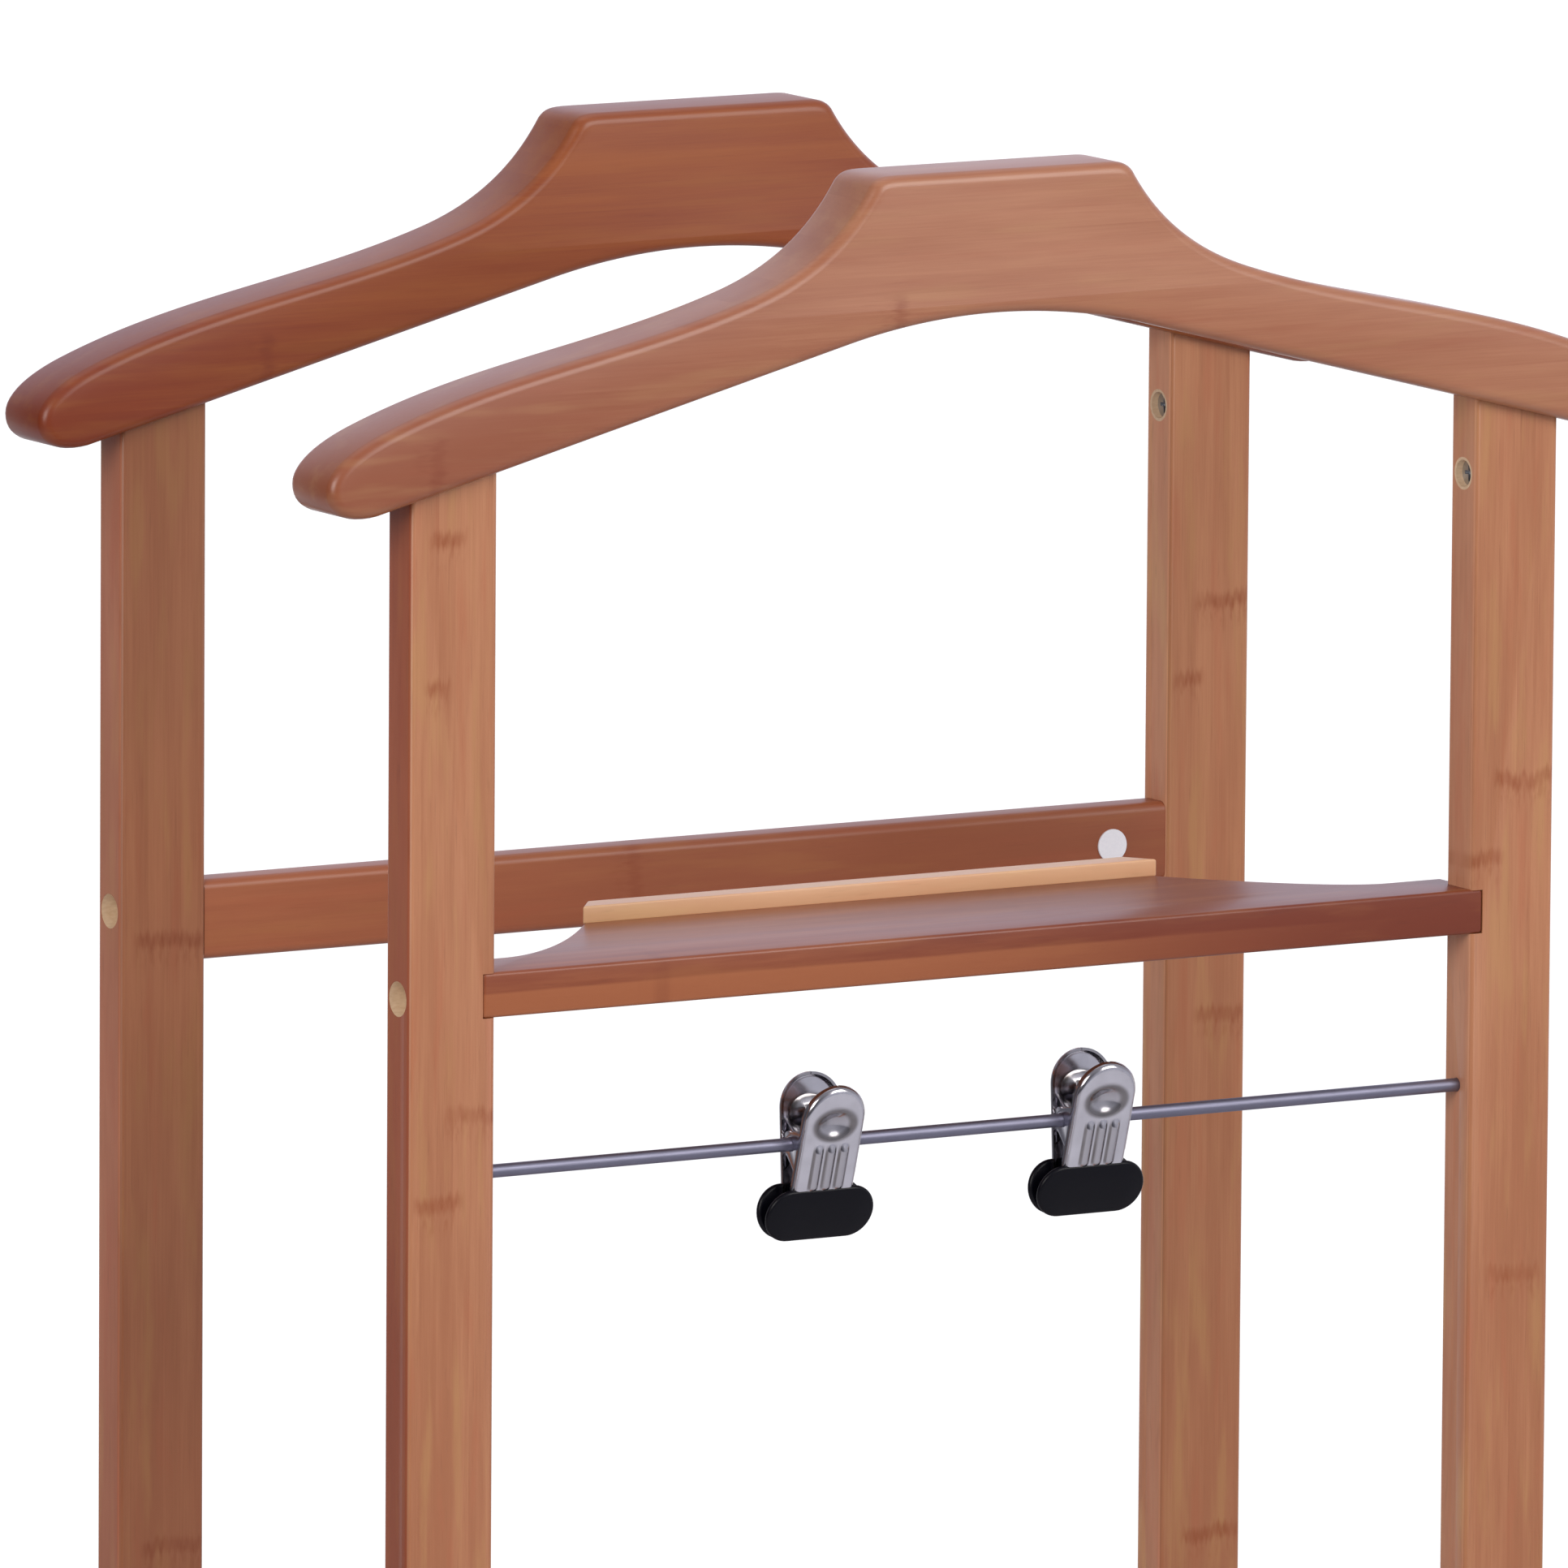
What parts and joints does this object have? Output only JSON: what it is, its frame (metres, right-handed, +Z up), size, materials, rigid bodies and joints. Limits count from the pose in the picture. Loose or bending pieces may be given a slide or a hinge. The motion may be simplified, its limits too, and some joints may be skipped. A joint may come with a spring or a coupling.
{
  "type": "valet stand",
  "caption": "Double valet stand: two wooden hangers on post frames, small tray, trouser rod with sprung clips and a slatted shoe shelf.",
  "frame": {"origin": "on the floor, under the middle of the stand", "axes": "+Z up, +X along the hangers to the right, front towards -Y"},
  "size_m": [0.452, 0.34, 1.08],
  "materials": {
    "bamboo_frame": "satin lacquered, stained laminated bamboo, light",
    "bamboo_hanger": "satin lacquered, stained laminated bamboo, mid brown",
    "bamboo_tray": "satin lacquered, stained laminated bamboo, darker",
    "bamboo_lip": "satin lacquered bamboo, light strip",
    "bamboo_rail": "satin lacquered, stained laminated bamboo, deep",
    "bamboo_slat": "satin lacquered, stained laminated bamboo",
    "dowel_wood": "raw",
    "label": "plain white, no marking",
    "rod_steel": "satin plated",
    "zinc_steel": "zinc plated",
    "clip_chrome": "bright plated stamped sheet",
    "spring_steel": "drawn spring wire",
    "jaw_rubber": "gloss dipped vinyl",
    "pad_rubber": "matt"
  },
  "bodies": {
    "root": {"front_hanger": "bamboo_hanger", "rear_hanger": "bamboo_hanger", "front_left_post": "bamboo_frame", "front_right_post": "bamboo_frame", "rear_left_post": "bamboo_frame", "rear_right_post": "bamboo_frame", "tray_board": "bamboo_tray", "tray_lip": "bamboo_lip", "rear_rail": "bamboo_rail", "round_label": "label", "trouser_rod": "rod_steel", "left_foot": "bamboo_frame", "right_foot": "bamboo_frame", "front_lower_rail": "bamboo_rail", "rear_lower_rail": "bamboo_rail", "shoe_slat_1": "bamboo_slat", "shoe_slat_2": "bamboo_slat", "shoe_slat_3": "bamboo_slat", "shoe_slat_4": "bamboo_slat", "shoe_slat_5": "bamboo_slat", "shoe_slat_6": "bamboo_slat", "foot_pads": "pad_rubber", "hanger_dowels": "dowel_wood", "foot_dowels": "dowel_wood", "barrel_nuts": "zinc_steel", "hanger_bolts": "zinc_steel", "tray_screws": "zinc_steel", "rear_rail_screws": "zinc_steel", "lower_rail_screws": "zinc_steel", "slat_screws": "zinc_steel"},
    "left_clip": {"left_clip_sleeve": "rod_steel"},
    "left_clip_rear": {"left_clip_rear_lever": "clip_chrome", "left_clip_rear_jaw": "jaw_rubber", "left_clip_spring": "spring_steel"},
    "left_clip_front": {"left_clip_front_lever": "clip_chrome", "left_clip_front_jaw": "jaw_rubber", "left_clip_spring_leg": "spring_steel"},
    "right_clip": {"right_clip_sleeve": "rod_steel"},
    "right_clip_rear": {"right_clip_rear_lever": "clip_chrome", "right_clip_rear_jaw": "jaw_rubber", "right_clip_spring": "spring_steel"},
    "right_clip_front": {"right_clip_front_lever": "clip_chrome", "right_clip_front_jaw": "jaw_rubber", "right_clip_spring_leg": "spring_steel"}
  },
  "joints": [
    {"name": "left_clip_slide", "type": "slide", "parent": "root", "child": "left_clip", "axis": [1, 0, 0], "range_m": [-0.094, 0.027]},
    {"name": "left_clip_swing", "type": "hinge", "parent": "left_clip", "child": "left_clip_rear", "pos_m": [-0.054, -0.087, 0.794], "axis": [1, 0, 0], "continuous": true},
    {"name": "left_clip_open", "type": "hinge", "parent": "left_clip_rear", "child": "left_clip_front", "pos_m": [-0.054, -0.087, 0.794], "axis": [-1, 0, 0], "range_deg": [0, 34], "stiffness_Nm_per_rad": 0.25, "springref_deg": -51.57},
    {"name": "right_clip_slide", "type": "slide", "parent": "root", "child": "right_clip", "axis": [1, 0, 0], "range_m": [-0.027, 0.109]},
    {"name": "right_clip_swing", "type": "hinge", "parent": "right_clip", "child": "right_clip_rear", "pos_m": [0.039, -0.087, 0.794], "axis": [1, 0, 0], "continuous": true},
    {"name": "right_clip_open", "type": "hinge", "parent": "right_clip_rear", "child": "right_clip_front", "pos_m": [0.039, -0.087, 0.794], "axis": [-1, 0, 0], "range_deg": [0, 34], "stiffness_Nm_per_rad": 0.25, "springref_deg": -51.57}
  ]
}
